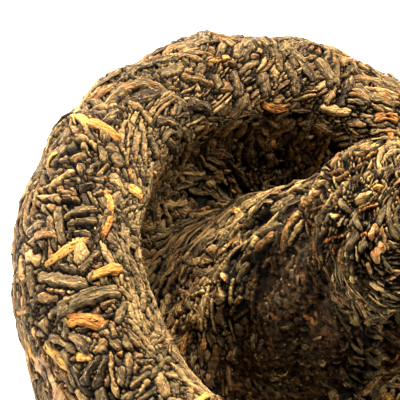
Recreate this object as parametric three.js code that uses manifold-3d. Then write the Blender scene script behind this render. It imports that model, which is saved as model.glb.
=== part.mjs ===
// Pressed tea cake in the shape of an upturned mushroom: a domed cap resting on a small flat spot,
// its edge rolled over into a thick rim round a deep hollow, and a twisted, pleated stem in the hollow.
// Units mm, +Z up, the resting spot on z = 0 and the middle of the outline on the Z axis.
import * as THREE from "three";
import { mergeVertices } from "three/addons/utils/BufferGeometryUtils.js";
import Module from "manifold-3d";

// Section of the cap: resting spot, dome, rolled rim and hollow
const SPOT_RADIUS = 12;
const CAP_RADIUS = 48.8;
const CAP_WIDEST_Z = 35.5;
const DOME_FLARE = 17;
const DOME_BULGE = 15;
const CREST_RADIUS = 38.6;
const CREST_Z = 48.4;
const SHOULDER_REACH = 6.5;
const LIP_RADIUS = 29.8;
const LIP_Z = 40;
const HOLLOW_RADIUS = 25.4;
const HOLLOW_Z = 23;
const HOLLOW_REACH = 2.5;

// Section of the stem: root, neck, and the knob that overhangs the neck
const ROOT_RADIUS = 19.2;
const ROOT_Z = 38;
const NECK_RADIUS = 14;
const NECK_Z = 58.5;
const KNOB_RADIUS = 14.5;
const KNOB_Z = 64;
const TOP_REACH = 8;
const TOP_Z = 73.5;
const STEM_REACH = 5;
const ROOT_LEAN = 1;
const KNOB_REACH = 2.4;

// The hollow and the stem stand off the middle of the cap, and the top of the stem is cut aslant
const HOLLOW_OFFSET_Y = -2.2;
const STEM_OFFSET_X = 3.2;
const STEM_OFFSET_Y = 1.2;
const SLANT_TOWARDS = 0.76;
const SLANT = 0.22;

// Creases between the pleats, in radians round the root, with half widths and depths
const CREASES = [
  { at: 0.3, width: 0.34, depth: 1.9 },
  { at: 0.95, width: 0.26, depth: 1.3 },
  { at: 1.6, width: 0.3, depth: 2.1 },
  { at: 2.25, width: 0.24, depth: 1.4 },
  { at: 2.9, width: 0.34, depth: 3.1 },
  { at: 3.65, width: 0.24, depth: 1.6 },
  { at: 4.2, width: 0.26, depth: 1.9 },
  { at: 4.9, width: 0.34, depth: 2.4 },
  { at: 5.65, width: 0.26, depth: 1.5 },
];
const CREASE_SHARPNESS = 1.4;
const CREASE_FADE_FROM = 2;
const CREASE_FADE_TO = 12;
const TWIST_PER_MM = 0.027;
const KNOB_TWIST = 0.9;

// Unevenness of a cake pressed by hand: the rim stands higher on one side
const RIM_TILT = 1;
const HIGH_SIDE = 2.3;
const EVEN_BELOW_Z = 23.5;
const OUTLINE_WAVE = 0.022;
const RIM_WAVE = 1.1;
const WAVE_SIZE = 30;
const LUMP_SIZE = 6.5;
const LUMP_HEIGHT = 0.8;
const SPOT_FADE = 0.09;
const POLE_FADE = 7;

// Fineness of the pressed core
const AROUND = 56;
const ALONG = 40;
const FLAT_ROWS = 2;
const WELD_WITHIN = 1e-3;

// Leaf strips pressed into the surface
const STRIPS = 104;
const STRIP_LENGTH = 13;
const STRIP_WIDTH = 3.6;
const SMALLEST_STRIP = 0.55;
const STRIP_THICKNESS = 2.2;
const STRIP_PROUD = 0.8;
const STRIP_PARTS = 3;
const STRIP_TAPER = 0.55;
const BARE_BELOW_Z = 2.5;
const OUTSIDE_STRAY = 0.6;
const FLANK_STRAY = 0.2;
const KNOB_STRAY = 0.4;
const PLACE_JITTER = 0.2;
const SEED = 20417;

function seeded(seed) {
  let state = seed;
  return () => {
    state = (Math.imul(state, 1664525) + 1013904223) >>> 0;
    return state / 2 ** 32;
  };
}

// A repeatable value between -1 and 1 for each lattice point
function lattice(i, j, k) {
  const h = Math.sin(i * 127.1 + j * 311.7 + k * 74.7) * 43758.5453;
  return 2 * (h - Math.floor(h)) - 1;
}

// Smooth noise over space, about -1 to 1
function noise(p, size) {
  const q = p.clone().divideScalar(size);
  const cell = q.clone().floor();
  const t = q.sub(cell);
  const [u, v, w] = t.toArray().map((x) => x * x * (3 - 2 * x));
  let sum = 0;
  for (let n = 0; n < 8; n++) {
    const [a, b, c] = [n & 1, (n >> 1) & 1, n >> 2];
    const weight = (a ? u : 1 - u) * (b ? v : 1 - v) * (c ? w : 1 - w);
    sum += weight * lattice(cell.x + a, cell.y + b, cell.z + c);
  }
  return sum;
}

// Half section from the edge of the resting spot over the rim, through the hollow and up the stem
function sectionPath() {
  const path = new THREE.Path();
  path.moveTo(SPOT_RADIUS, 0);
  path.bezierCurveTo(
    SPOT_RADIUS + DOME_FLARE, 0,
    CAP_RADIUS, CAP_WIDEST_Z - DOME_BULGE, CAP_RADIUS, CAP_WIDEST_Z,
  );
  path.bezierCurveTo(
    CAP_RADIUS, CAP_WIDEST_Z + SHOULDER_REACH,
    CREST_RADIUS + SHOULDER_REACH, CREST_Z, CREST_RADIUS, CREST_Z,
  );
  path.bezierCurveTo(
    CREST_RADIUS - SHOULDER_REACH, CREST_Z,
    LIP_RADIUS, LIP_Z + SHOULDER_REACH, LIP_RADIUS, LIP_Z,
  );
  path.bezierCurveTo(
    LIP_RADIUS, LIP_Z - SHOULDER_REACH,
    HOLLOW_RADIUS + HOLLOW_REACH, HOLLOW_Z, HOLLOW_RADIUS, HOLLOW_Z,
  );
  path.bezierCurveTo(
    HOLLOW_RADIUS - HOLLOW_REACH, HOLLOW_Z,
    ROOT_RADIUS + HOLLOW_REACH, ROOT_Z - STEM_REACH, ROOT_RADIUS, ROOT_Z,
  );
  path.bezierCurveTo(
    ROOT_RADIUS - ROOT_LEAN, ROOT_Z + STEM_REACH, NECK_RADIUS, NECK_Z - STEM_REACH, NECK_RADIUS, NECK_Z,
  );
  path.bezierCurveTo(
    NECK_RADIUS, NECK_Z + KNOB_REACH, KNOB_RADIUS, KNOB_Z - KNOB_REACH, KNOB_RADIUS, KNOB_Z,
  );
  path.bezierCurveTo(KNOB_RADIUS, KNOB_Z + STEM_REACH, TOP_REACH, TOP_Z, 0, TOP_Z);
  return path;
}

const SECTION = sectionPath();
const LENGTHS = SECTION.getCurveLengths();
const WHOLE = LENGTHS[LENGTHS.length - 1];
const DOME_END = LENGTHS[0] / WHOLE;
const CREST_AT = LENGTHS[1] / WHOLE;
const LIP_AT = LENGTHS[2] / WHOLE;
const HOLLOW_AT = LENGTHS[3] / WHOLE;
const ROOT_AT = LENGTHS[4] / WHOLE;
const KNOB_AT = LENGTHS[6] / WHOLE;

// How far each crease is cut in at an angle round the root
function creaseDepth(angle) {
  const column = (2 * Math.PI) / AROUND;
  return CREASES.reduce((sum, { at, width, depth }) => {
    const away = angle - Math.round(at / column) * column;
    const turn = Math.abs(Math.atan2(Math.sin(away), Math.cos(away)));
    return sum + depth * Math.max(0, 1 - turn / width) ** CREASE_SHARPNESS;
  }, 0);
}

// Point of the uneven surface at an angle and a share of the way along the section
function surfacePoint(column, share) {
  const { smoothstep } = THREE.MathUtils;
  const { x: r, y: z } = SECTION.getPointAt(THREE.MathUtils.clamp(share, 0, 1));
  const free = smoothstep(share, 0, SPOT_FADE) * smoothstep(r, 0, POLE_FADE);
  const hollow = smoothstep(share, CREST_AT, LIP_AT);
  const stem = smoothstep(share, LIP_AT, ROOT_AT);
  const knob = smoothstep(share, KNOB_AT, 1);
  const twist = share > HOLLOW_AT ? TWIST_PER_MM * (z - HOLLOW_Z) : 0;
  const angle = column - twist - KNOB_TWIST * knob;
  const out = new THREE.Vector3(Math.cos(angle), Math.sin(angle), 0);
  const around = new THREE.Vector3(Math.cos(column), Math.sin(column), 0);
  const wave = noise(around.multiplyScalar(CAP_RADIUS), WAVE_SIZE) * free * (1 - stem);
  const cut = smoothstep(share, HOLLOW_AT, ROOT_AT) * smoothstep(r, CREASE_FADE_FROM, CREASE_FADE_TO);
  const p = out.clone().multiplyScalar(r * (1 + OUTLINE_WAVE * wave) - cut * creaseDepth(column));
  const lift = RIM_WAVE * wave + RIM_TILT * (1 - stem) * Math.cos(angle - HIGH_SIDE);
  p.z = z + lift * smoothstep(z, EVEN_BELOW_Z, CREST_Z);
  p.z += SLANT * knob * r * Math.cos(angle - SLANT_TOWARDS);
  p.x += stem * STEM_OFFSET_X;
  p.y += hollow * (1 - stem) * HOLLOW_OFFSET_Y + stem * STEM_OFFSET_Y;
  const lump = LUMP_HEIGHT * free * noise(p, LUMP_SIZE);
  p.addScaledVector(out, lump);
  if (share > DOME_END) p.z += lump;
  return p;
}

// The pressed core, one closed surface
function coreGeometry() {
  const profile = [];
  for (let i = 0; i < FLAT_ROWS; i++) profile.push(new THREE.Vector2((SPOT_RADIUS * i) / FLAT_ROWS, 0));
  for (let i = 0; i <= ALONG; i++) profile.push(SECTION.getPointAt(i / ALONG));
  profile[profile.length - 1].x = 0;
  const lathe = new THREE.LatheGeometry(profile, AROUND);
  const at = lathe.getAttribute("position");
  for (let i = 0; i < at.count; i++) {
    const row = (i % profile.length) - FLAT_ROWS;
    const column = Math.floor(i / profile.length) % AROUND;
    const angle = (2 * Math.PI * column) / AROUND;
    const flat = profile[row + FLAT_ROWS];
    if (row > 0) at.setXYZ(i, ...surfacePoint(angle, row / ALONG));
    else at.setXYZ(i, flat.x * Math.cos(angle), flat.x * Math.sin(angle), 0);
  }
  return lathe;
}

// Directions along the surface and out of it
function frameAt(angle, share) {
  const step = 0.003;
  const swing = 0.024;
  const p = surfacePoint(angle, share);
  const ahead = surfacePoint(angle, share + step).sub(surfacePoint(angle, share - step));
  const aside = surfacePoint(angle + swing, share).sub(surfacePoint(angle - swing, share));
  const stretchAhead = ahead.length() / (2 * step);
  const stretchAside = aside.length() / (2 * swing);
  const out = aside.clone().cross(ahead).normalize();
  return { p, out, stretchAhead, stretchAside };
}

// How steeply a strip lies: round the outside, criss-cross on the rim, up the flank, round the knob
function turnAt(share, random) {
  const stray = 2 * random() - 1;
  if (share < DOME_END) return OUTSIDE_STRAY * stray;
  if (share < HOLLOW_AT) return (Math.PI / 2) * stray;
  if (share < KNOB_AT) return Math.PI / 2 + FLANK_STRAY * stray;
  return KNOB_STRAY * stray;
}

// One leaf strip bent along the surface, tapering to both ends
function stripGeometry(angle, share, turn, size) {
  const length = STRIP_LENGTH * size;
  const strip = new THREE.BoxGeometry(length, STRIP_WIDTH * size, STRIP_THICKNESS, STRIP_PARTS, 1, 1);
  const at = strip.getAttribute("position");
  const middle = frameAt(angle, share);
  for (let i = 0; i < at.count; i++) {
    const along = at.getX(i);
    const taper = 1 - STRIP_TAPER * (2 * along / length) ** 2;
    const across = at.getY(i) * taper;
    const round = along * Math.cos(turn) - across * Math.sin(turn);
    const up = along * Math.sin(turn) + across * Math.cos(turn);
    const here = frameAt(angle + round / middle.stretchAside, share + up / middle.stretchAhead);
    const high = at.getZ(i) > 0 ? STRIP_PROUD * taper : STRIP_PROUD - STRIP_THICKNESS;
    at.setXYZ(i, ...here.p.addScaledVector(here.out, high));
  }
  return strip;
}

// Places for the strips, spread evenly over the area, largest first
function stripPlaces() {
  const random = seeded(SEED);
  const golden = Math.PI * (3 - Math.sqrt(5));
  const fine = 400;
  const area = [0];
  for (let i = 0; i < fine; i++) area.push(area[i] + SECTION.getPointAt((i + 0.5) / fine).x);
  const places = [];
  for (let n = 0; n < STRIPS; n++) {
    const wanted = area[fine] * ((n + 0.5) / STRIPS);
    const share = area.findIndex((a) => a >= wanted) / fine;
    if (SECTION.getPointAt(share).y < BARE_BELOW_Z) continue;
    const angle = n * golden + PLACE_JITTER * random();
    const size = SMALLEST_STRIP + (1 - SMALLEST_STRIP) * random();
    places.push({ angle, share, turn: turnAt(share, random), size });
  }
  return places.sort((a, b) => b.size - a.size);
}

function solidOf(wasm, geometry) {
  const bare = new THREE.BufferGeometry();
  bare.setAttribute("position", geometry.getAttribute("position"));
  bare.setIndex(geometry.getIndex());
  const merged = mergeVertices(bare, WELD_WITHIN);
  const vertProperties = merged.getAttribute("position").array;
  const triVerts = new Uint32Array(merged.getIndex().array);
  return new wasm.Manifold(new wasm.Mesh({ numProp: 3, vertProperties, triVerts }));
}

// The joined solid as a geometry, moved so that its outline is centred
function geometryOf(solid) {
  const mesh = solid.getMesh();
  const geometry = new THREE.BufferGeometry();
  geometry.setAttribute("position", new THREE.BufferAttribute(mesh.vertProperties, 3));
  geometry.setIndex(new THREE.BufferAttribute(mesh.triVerts, 1));
  geometry.computeBoundingBox();
  const { min, max } = geometry.boundingBox;
  return geometry.translate(-(min.x + max.x) / 2, -(min.y + max.y) / 2, 0);
}

const wasm = await Module();
wasm.setup();
let cake = solidOf(wasm, coreGeometry());
for (const { angle, share, turn, size } of stripPlaces()) {
  cake = cake.add(solidOf(wasm, stripGeometry(angle, share, turn, size)));
}
// Pockets closed in under crossing strips are filled
cake = cake.decompose().reduce((a, b) => (b.volume() > a.volume() ? b : a));

const pressed = new THREE.Mesh(
  geometryOf(cake),
  new THREE.MeshStandardMaterial({ color: 0x5b432a, roughness: 0.9 }),
);
pressed.name = "pressed_tea";
const group = new THREE.Group();
group.add(pressed);
export default group;
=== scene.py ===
"""A pressed tea cake shaped like an upturned mushroom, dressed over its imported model.

The cake is a pressed face that follows the model's own section, on which leaf strips lie side by side as
relief. Loose strips, golden tips, stalks and crumbs of their true size lie on it. Lengths named here are
millimetres."""

import math
from dataclasses import dataclass

import bpy
import numpy as np
from mathutils import Matrix, Vector


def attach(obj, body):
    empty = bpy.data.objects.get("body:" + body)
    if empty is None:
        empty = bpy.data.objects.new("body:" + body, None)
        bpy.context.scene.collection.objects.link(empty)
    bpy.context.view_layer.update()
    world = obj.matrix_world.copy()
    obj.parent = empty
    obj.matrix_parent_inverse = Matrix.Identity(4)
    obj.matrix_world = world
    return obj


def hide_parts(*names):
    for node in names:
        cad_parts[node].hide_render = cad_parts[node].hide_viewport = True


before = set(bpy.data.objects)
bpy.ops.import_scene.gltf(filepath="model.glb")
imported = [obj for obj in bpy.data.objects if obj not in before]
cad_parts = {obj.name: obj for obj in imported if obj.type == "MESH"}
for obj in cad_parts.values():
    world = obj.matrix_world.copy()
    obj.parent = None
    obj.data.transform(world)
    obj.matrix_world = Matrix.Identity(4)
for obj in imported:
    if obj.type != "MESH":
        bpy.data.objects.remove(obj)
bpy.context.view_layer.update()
NODE = "pressed_tea"
MM = 0.001
QUARTER = math.pi / 2

# Section of the cap, as in the model
SPOT_RADIUS = 12
CAP_RADIUS = 48.8
CAP_WIDEST_Z = 35.5
DOME_FLARE = 17
DOME_BULGE = 15
CREST_RADIUS = 38.6
CREST_Z = 48.4
SHOULDER_REACH = 6.5
LIP_RADIUS = 29.8
LIP_Z = 40
HOLLOW_RADIUS = 25.4
HOLLOW_Z = 23
HOLLOW_REACH = 2.5

# Section of the stem
ROOT_RADIUS = 19.2
ROOT_Z = 38
NECK_RADIUS = 14
NECK_Z = 58.5
KNOB_RADIUS = 14.5
KNOB_Z = 64
TOP_REACH = 8
TOP_Z = 73.5
STEM_REACH = 5
KNOB_REACH = 2.4

# Lie of the hollow, the stem and the rim
HOLLOW_OFFSET_Y = -2.2
STEM_OFFSET_X = 3.2
STEM_OFFSET_Y = 1.2
SLANT_TOWARDS = 0.76
SLANT = 0.22
RIM_TILT = 1
HIGH_SIDE = 2.3
EVEN_BELOW_Z = 23.5

# Creases between the pleats: place round the root, half width, depth
CREASES = [
    (0.3, 0.34, 1.9), (0.95, 0.26, 1.3), (1.6, 0.3, 2.1),
    (2.25, 0.24, 1.4), (2.9, 0.34, 3.1), (3.65, 0.24, 1.6),
    (4.2, 0.26, 1.9), (4.9, 0.34, 2.4), (5.65, 0.26, 1.5),
]
CREASE_COLUMN = 2 * math.pi / 56
CREASE_SHARPNESS = 1.4
CREASE_FADE_FROM = 2
CREASE_FADE_TO = 12
TWIST_PER_MM = 0.027
KNOB_TWIST = 0.9

# Unevenness of the pressing
OUTLINE_WAVE = 0.022
RIM_WAVE = 1.1
WAVE_SIZE = 30
LUMP_SIZE = 6.5
LUMP_HEIGHT = 0.8
SPOT_FADE = 0.09
SPOT_RUBBED = 0.02
POLE_FADE = 7

# Where the leaf is crumbled and rubbed smooth: angles of one side of the stem and of the rim's inside
DUSTY_SIDE = 5.5
DUSTY_REACH = 0.95
DUSTY_PATCH = 15
DUSTY_RIM = 4.4
DUSTY_RIM_REACH = 1.3
RIM_DUST = 0.55

# The pressed face: stretches of the section, by share, with their columns and rows
BANDS = [
    ("pressed_underside", 0, 0.205, 560, 165), ("pressed_side", 0.2, 0.345, 700, 135),
    ("pressed_rim", 0.34, 0.45, 820, 115), ("pressed_inner_rim", 0.445, 0.56, 640, 140),
    ("pressed_hollow", 0.555, 0.73, 440, 190), ("pressed_stem", 0.72, 1, 380, 250),
]
GAP_DEPTH = 1.2
SEAM_DEPTH = 0.55
SAG_AT_EDGE = 0.75
DUSTY_DEPTH = 0.1
DUSTY_RELIEF = 0.3
GRAINS = [(0, 0.9), (50, 2.34), (90, 0.5)]
GRAIN_RELIEF = 0.22
EDGE_REACH = 3
TUCK = 1.3

# How the strips lie
BUNDLE_SIZE = 9
MIDDLE_SAG = 0.35
LEAF_TOP = 0.85
LEAF_ROLL = 0.2
LEAF_DIP = 0.35
THINNEST_END = 0.35
TIP_REACH = 0.12
LOWEST_LEAF = 0.02
TIP_STATIONS = 9
TIP_SEED = 1
MARK_SPREAD = 1.2
MARK_BLUNT = 6
MARK_CLEARANCE = 2.8

# Crumbs: how many on a square metre where all is dust, and how large
CRUMBS_PER_SQUARE_METRE = 0.4e6
SMALLEST_CRUMB = 0.25
LARGEST_CRUMB = 0.7
FIRST_CRUMB_SEED = 6

# The camera of the photograph, with angles in radians
CAMERA_DISTANCE = 186.4
CAMERA_RISE = math.radians(53)
CAMERA_YAW = -0.12
CAMERA_PITCH = -0.02
CAMERA_ROLL = math.radians(50)
CAMERA_AIM_Z = 36.74
CAMERA_LENS = 96.3
SENSOR = 36
PICTURE = 400
SEEN_WITHIN = 2.5
SEEN_DEPTH = 3
LIGHT_DISTANCE = 0.9

# Colours of dried leaf by tone, from 0 to 1; gold takes the tones from 2 to 3
BROWN = [(0.0, (0.020, 0.013, 0.007)), (0.18, (0.060, 0.036, 0.016)), (0.4, (0.150, 0.094, 0.038)),
         (0.55, (0.085, 0.065, 0.028)), (0.7, (0.200, 0.084, 0.024)), (0.85, (0.28, 0.165, 0.060)),
         (1.0, (0.44, 0.27, 0.095))]
DARK = [(0.0, (0.014, 0.009, 0.004)), (0.22, (0.050, 0.030, 0.012)), (0.4, (0.160, 0.118, 0.046)),
        (0.55, (0.080, 0.048, 0.018)), (0.7, (0.29, 0.190, 0.070)), (0.85, (0.26, 0.085, 0.020)),
        (1.0, (0.52, 0.34, 0.120))]
GOLD = [(0.0, (0.28, 0.085, 0.016)), (0.5, (0.50, 0.195, 0.038)), (1.0, (0.64, 0.32, 0.074))]
GOLD_TONES = (2, 3)
DARK_CRUMBLE = [(0.36, (0.008, 0.005, 0.002)), (0.46, (0.048, 0.026, 0.010)),
                (0.55, (0.110, 0.052, 0.017)), (0.66, (0.28, 0.105, 0.026))]
OLIVE_CRUMBLE = [(0.38, (0.014, 0.011, 0.005)), (0.70, (0.110, 0.078, 0.030))]
TAN_CRUMBLE = [(0.30, (0.140, 0.100, 0.048)), (0.44, (0.32, 0.225, 0.100)), (0.58, (0.60, 0.40, 0.17))]
TAN_CRACK = (0.050, 0.034, 0.017)
ORANGE_SPECK = (0.34, 0.17, 0.055)
CRUMB = [(0.0, (0.022, 0.013, 0.006)), (0.4, (0.070, 0.042, 0.018)), (0.7, (0.13, 0.062, 0.020)),
         (1.0, (0.20, 0.115, 0.042))]
# Near-black painted shade for crevices, the sides of strips and low places
CREVICE_SHADE = (0.005, 0.0035, 0.002)
# Dark painted shade for the creases of folds, wrinkles and cracks
WRINKLE_SHADE = (0.012, 0.007, 0.004)


# ---------------------------------------------------------------- the pressed shape

def smoothstep(x, low, high):
    t = np.clip((x - low) / (high - low), 0, 1)
    return t * t * (3 - 2 * t)


def lattice(i, j, k):
    h = np.sin(i * 127.1 + j * 311.7 + k * 74.7) * 43758.5453
    return 2 * (h - np.floor(h)) - 1


def noise(points, size):
    """Smooth noise over space, about -1 to 1, for points in the last axis."""
    q = points / size
    cell = np.floor(q)
    t = q - cell
    ease = t * t * (3 - 2 * t)
    total = 0
    for n in range(8):
        step = np.array([n & 1, (n >> 1) & 1, n >> 2])
        weight = np.where(step, ease, 1 - ease).prod(axis=-1)
        total = total + weight * lattice(*np.moveaxis(cell + step, -1, 0))
    return total


def section_curves():
    """The half section as cubic curves from the resting spot, over the rim, to the top of the stem."""
    spot, widest = (SPOT_RADIUS, 0), (CAP_RADIUS, CAP_WIDEST_Z)
    crest, lip = (CREST_RADIUS, CREST_Z), (LIP_RADIUS, LIP_Z)
    hollow, root = (HOLLOW_RADIUS, HOLLOW_Z), (ROOT_RADIUS, ROOT_Z)
    neck, knob, top = (NECK_RADIUS, NECK_Z), (KNOB_RADIUS, KNOB_Z), (0, TOP_Z)
    above_widest, beside_crest = (CAP_RADIUS, CAP_WIDEST_Z + SHOULDER_REACH), CREST_RADIUS + SHOULDER_REACH
    below_root = (ROOT_RADIUS + HOLLOW_REACH, ROOT_Z - STEM_REACH)
    return np.array([
        [spot, (SPOT_RADIUS + DOME_FLARE, 0), (CAP_RADIUS, CAP_WIDEST_Z - DOME_BULGE), widest],
        [widest, above_widest, (beside_crest, CREST_Z), crest],
        [crest, (CREST_RADIUS - SHOULDER_REACH, CREST_Z), (LIP_RADIUS, LIP_Z + SHOULDER_REACH), lip],
        [lip, (LIP_RADIUS, LIP_Z - SHOULDER_REACH), (HOLLOW_RADIUS + HOLLOW_REACH, HOLLOW_Z), hollow],
        [hollow, (HOLLOW_RADIUS - HOLLOW_REACH, HOLLOW_Z), below_root, root],
        [root, (ROOT_RADIUS - 1, ROOT_Z + STEM_REACH), (NECK_RADIUS, NECK_Z - STEM_REACH), neck],
        [neck, (NECK_RADIUS, NECK_Z + KNOB_REACH), (KNOB_RADIUS, KNOB_Z - KNOB_REACH), knob],
        [knob, (KNOB_RADIUS, KNOB_Z + STEM_REACH), (TOP_REACH, TOP_Z), top],
    ], dtype=float)


def section_table(steps=200):
    """Radius and height against the share of the way along, and the share at the end of each curve."""
    t = np.linspace(0, 1, steps + 1)[:, None]
    weights = [(1 - t) ** 3, 3 * (1 - t) ** 2 * t, 3 * (1 - t) * t * t, t ** 3]
    parts = [sum(w * p for w, p in zip(weights, curve)) for curve in section_curves()]
    line = np.concatenate([parts[0]] + [part[1:] for part in parts[1:]])
    along = np.concatenate([[0], np.cumsum(np.hypot(*np.diff(line, axis=0).T))])
    return line, along / along[-1], along[steps::steps] / along[-1]


SECTION, SHARE, ENDS = section_table()
DOME_END, CREST_AT, LIP_AT, HOLLOW_AT, ROOT_AT, NECK_AT, KNOB_AT, _ = ENDS


def crease_depth(column):
    """How deep the creases between the pleats are at an angle; each lies on a column of the model."""
    depth = 0
    for at, width, most in CREASES:
        away = column - round(at / CREASE_COLUMN) * CREASE_COLUMN
        turn = np.abs(np.arctan2(np.sin(away), np.cos(away)))
        depth = depth + most * np.maximum(0, 1 - turn / width) ** CREASE_SHARPNESS
    return depth


def spot_centre():
    """Middle of the model's resting spot, from which its section is turned."""
    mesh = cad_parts[NODE].data
    points = np.empty(len(mesh.vertices) * 3)
    mesh.vertices.foreach_get("co", points)
    points = points.reshape(-1, 3)
    flat = points[points[:, 2] < 1e-5, :2]
    return (flat.min(axis=0) + flat.max(axis=0)) / 2 / MM


CENTRE = spot_centre()


def surface(column, share):
    """Points of the pressed surface, in millimetres, at an angle and a share along the section."""
    share = np.clip(share, 0, 1)
    r = np.interp(share, SHARE, SECTION[:, 0])
    z = np.interp(share, SHARE, SECTION[:, 1])
    free = smoothstep(share, 0, SPOT_FADE) * smoothstep(r, 0, POLE_FADE)
    hollow = smoothstep(share, CREST_AT, LIP_AT)
    stem = smoothstep(share, LIP_AT, ROOT_AT)
    knob = smoothstep(share, KNOB_AT, 1)
    twist = np.where(share > HOLLOW_AT, TWIST_PER_MM * (z - HOLLOW_Z), 0)
    angle = column - twist - KNOB_TWIST * knob
    out = np.stack([np.cos(angle), np.sin(angle), 0 * angle], axis=-1)
    ring = np.stack([np.cos(column), np.sin(column), 0 * column], axis=-1) * CAP_RADIUS
    wave = noise(ring, WAVE_SIZE) * free * (1 - stem)
    cut = smoothstep(share, HOLLOW_AT, ROOT_AT) * smoothstep(r, CREASE_FADE_FROM, CREASE_FADE_TO)
    p = out * (r * (1 + OUTLINE_WAVE * wave) - cut * crease_depth(column))[..., None]
    lift = RIM_WAVE * wave + RIM_TILT * (1 - stem) * np.cos(angle - HIGH_SIDE)
    p[..., 2] = z + lift * smoothstep(z, EVEN_BELOW_Z, CREST_Z)
    p[..., 2] += SLANT * knob * r * np.cos(angle - SLANT_TOWARDS)
    p[..., 0] += stem * STEM_OFFSET_X
    p[..., 1] += hollow * (1 - stem) * HOLLOW_OFFSET_Y + stem * STEM_OFFSET_Y
    lump = LUMP_HEIGHT * free * noise(p, LUMP_SIZE)
    p += out * lump[..., None]
    p[..., 2] += np.where(share > DOME_END, lump, 0)
    p[..., :2] += CENTRE
    return p


def unit(v):
    return v / np.maximum(np.linalg.norm(v, axis=-1, keepdims=True), 1e-9)


def surface_frame(column, share, step=0.002, swing=0.016):
    """Points with the way out of the surface, and how far a step up or round moves on it."""
    up = surface(column, share + step) - surface(column, share - step)
    aside = surface(column + swing, share) - surface(column - swing, share)
    reach_up = np.linalg.norm(up, axis=-1) / (2 * step)
    reach_aside = np.linalg.norm(aside, axis=-1) / (2 * swing)
    return surface(column, share), unit(np.cross(aside, up)), reach_up, reach_aside


def facing(column, towards, reach, full):
    """From 1 near an angle, up to a share of the reach, to 0 at the reach."""
    return smoothstep(np.cos(column - towards), math.cos(reach), math.cos(full * reach))


def dusty(column, share):
    """From 0, all leaf, to 1, a face of crumbled leaf pressed smooth."""
    rim = smoothstep(share, CREST_AT - 0.035, CREST_AT + 0.02)
    rim = rim * smoothstep(share, LIP_AT + 0.02, LIP_AT - 0.03)
    stem = smoothstep(share, HOLLOW_AT, HOLLOW_AT + 0.05) * smoothstep(share, KNOB_AT, NECK_AT - 0.03)
    ring = np.stack([np.cos(column), np.sin(column), share * 4], axis=-1) * CAP_RADIUS
    patch = smoothstep(noise(ring, DUSTY_PATCH), 0.2, 0.5)
    on_rim = np.maximum(facing(column, DUSTY_RIM, DUSTY_RIM_REACH, 0.5), 0.5 * patch)
    on_stem = np.maximum(facing(column, DUSTY_SIDE, DUSTY_REACH, 0.4), 0.7 * patch)
    return np.maximum(RIM_DUST * rim * on_rim, stem * on_stem)


# ---------------------------------------------------------------- what the camera sees

def camera_axes():
    """Where the camera stands, in millimetres, and its right, up and forward directions."""
    rise = np.array([0, -math.cos(CAMERA_RISE), math.sin(CAMERA_RISE)])
    up = np.array([0, math.sin(CAMERA_RISE), math.cos(CAMERA_RISE)])
    look = -rise * math.cos(CAMERA_YAW) * math.cos(CAMERA_PITCH) + up * math.sin(CAMERA_PITCH)
    look[0] += math.sin(CAMERA_YAW) * math.cos(CAMERA_PITCH)
    flat = unit(np.cross(look, up))
    tall = np.cross(flat, look)
    across = flat * math.cos(CAMERA_ROLL) + tall * math.sin(CAMERA_ROLL)
    upright = tall * math.cos(CAMERA_ROLL) - flat * math.sin(CAMERA_ROLL)
    return rise * CAMERA_DISTANCE + np.array([0, 0, CAMERA_AIM_Z]), across, upright, look


class View:
    """Finds the angle and share of the surface that shows at a point of the picture."""

    def __init__(self):
        place, across, upright, look = camera_axes()
        self.focal = CAMERA_LENS / SENSOR * PICTURE
        column, share = np.meshgrid(np.linspace(0, 2 * np.pi, 900, endpoint=False), np.linspace(0, 1, 700))
        at, out, _, _ = surface_frame(column, share)
        way = at - place
        self.depth = way @ look
        self.x = PICTURE / 2 + self.focal * (way @ across) / self.depth
        self.y = PICTURE / 2 - self.focal * (way @ upright) / self.depth
        self.column, self.share = column, share
        self.faces = (way * out).sum(axis=-1) < 0

    def seen(self, x, y):
        """Angle, share and millimetres to the pixel of what stands in front at a point of the picture."""
        away = np.where(self.faces, np.hypot(self.x - x, self.y - y), np.inf)
        front = np.where(away < SEEN_WITHIN, self.depth, np.inf).min()
        pick = np.where(self.depth < front + SEEN_DEPTH, away, np.inf).argmin()
        return self.column.flat[pick], self.share.flat[pick], self.depth.flat[pick] / self.focal


# ---------------------------------------------------------------- meshes

def mesh_piece(name, points, faces, attributes, material):
    """A finished piece from points in millimetres, faces, and named values on its points."""
    mesh = bpy.data.meshes.new(name)
    mesh.from_pydata((points * MM).tolist(), [], faces)
    mesh.update()
    for key, values in attributes.items():
        layer = mesh.attributes.new(key, "FLOAT", "POINT")
        layer.data.foreach_set("value", np.ascontiguousarray(values, dtype=np.float32))
    mesh.shade_smooth()
    mesh.materials.append(material)
    piece = bpy.data.objects.new(name, mesh)
    bpy.context.scene.collection.objects.link(piece)
    return piece


@dataclass
class Strips:
    """A set of leaf strips: where they lie, which way, how large, how proud and of which tone."""
    column: np.ndarray
    share: np.ndarray
    turn: np.ndarray
    length: np.ndarray
    width: np.ndarray
    thick: np.ndarray
    level: np.ndarray
    bend: np.ndarray
    blunt: np.ndarray
    tone: np.ndarray

    def only(self, kept):
        return Strips(*(values[kept] for values in vars(self).values()))

    def rows(self):
        return zip(*vars(self).values())


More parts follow.
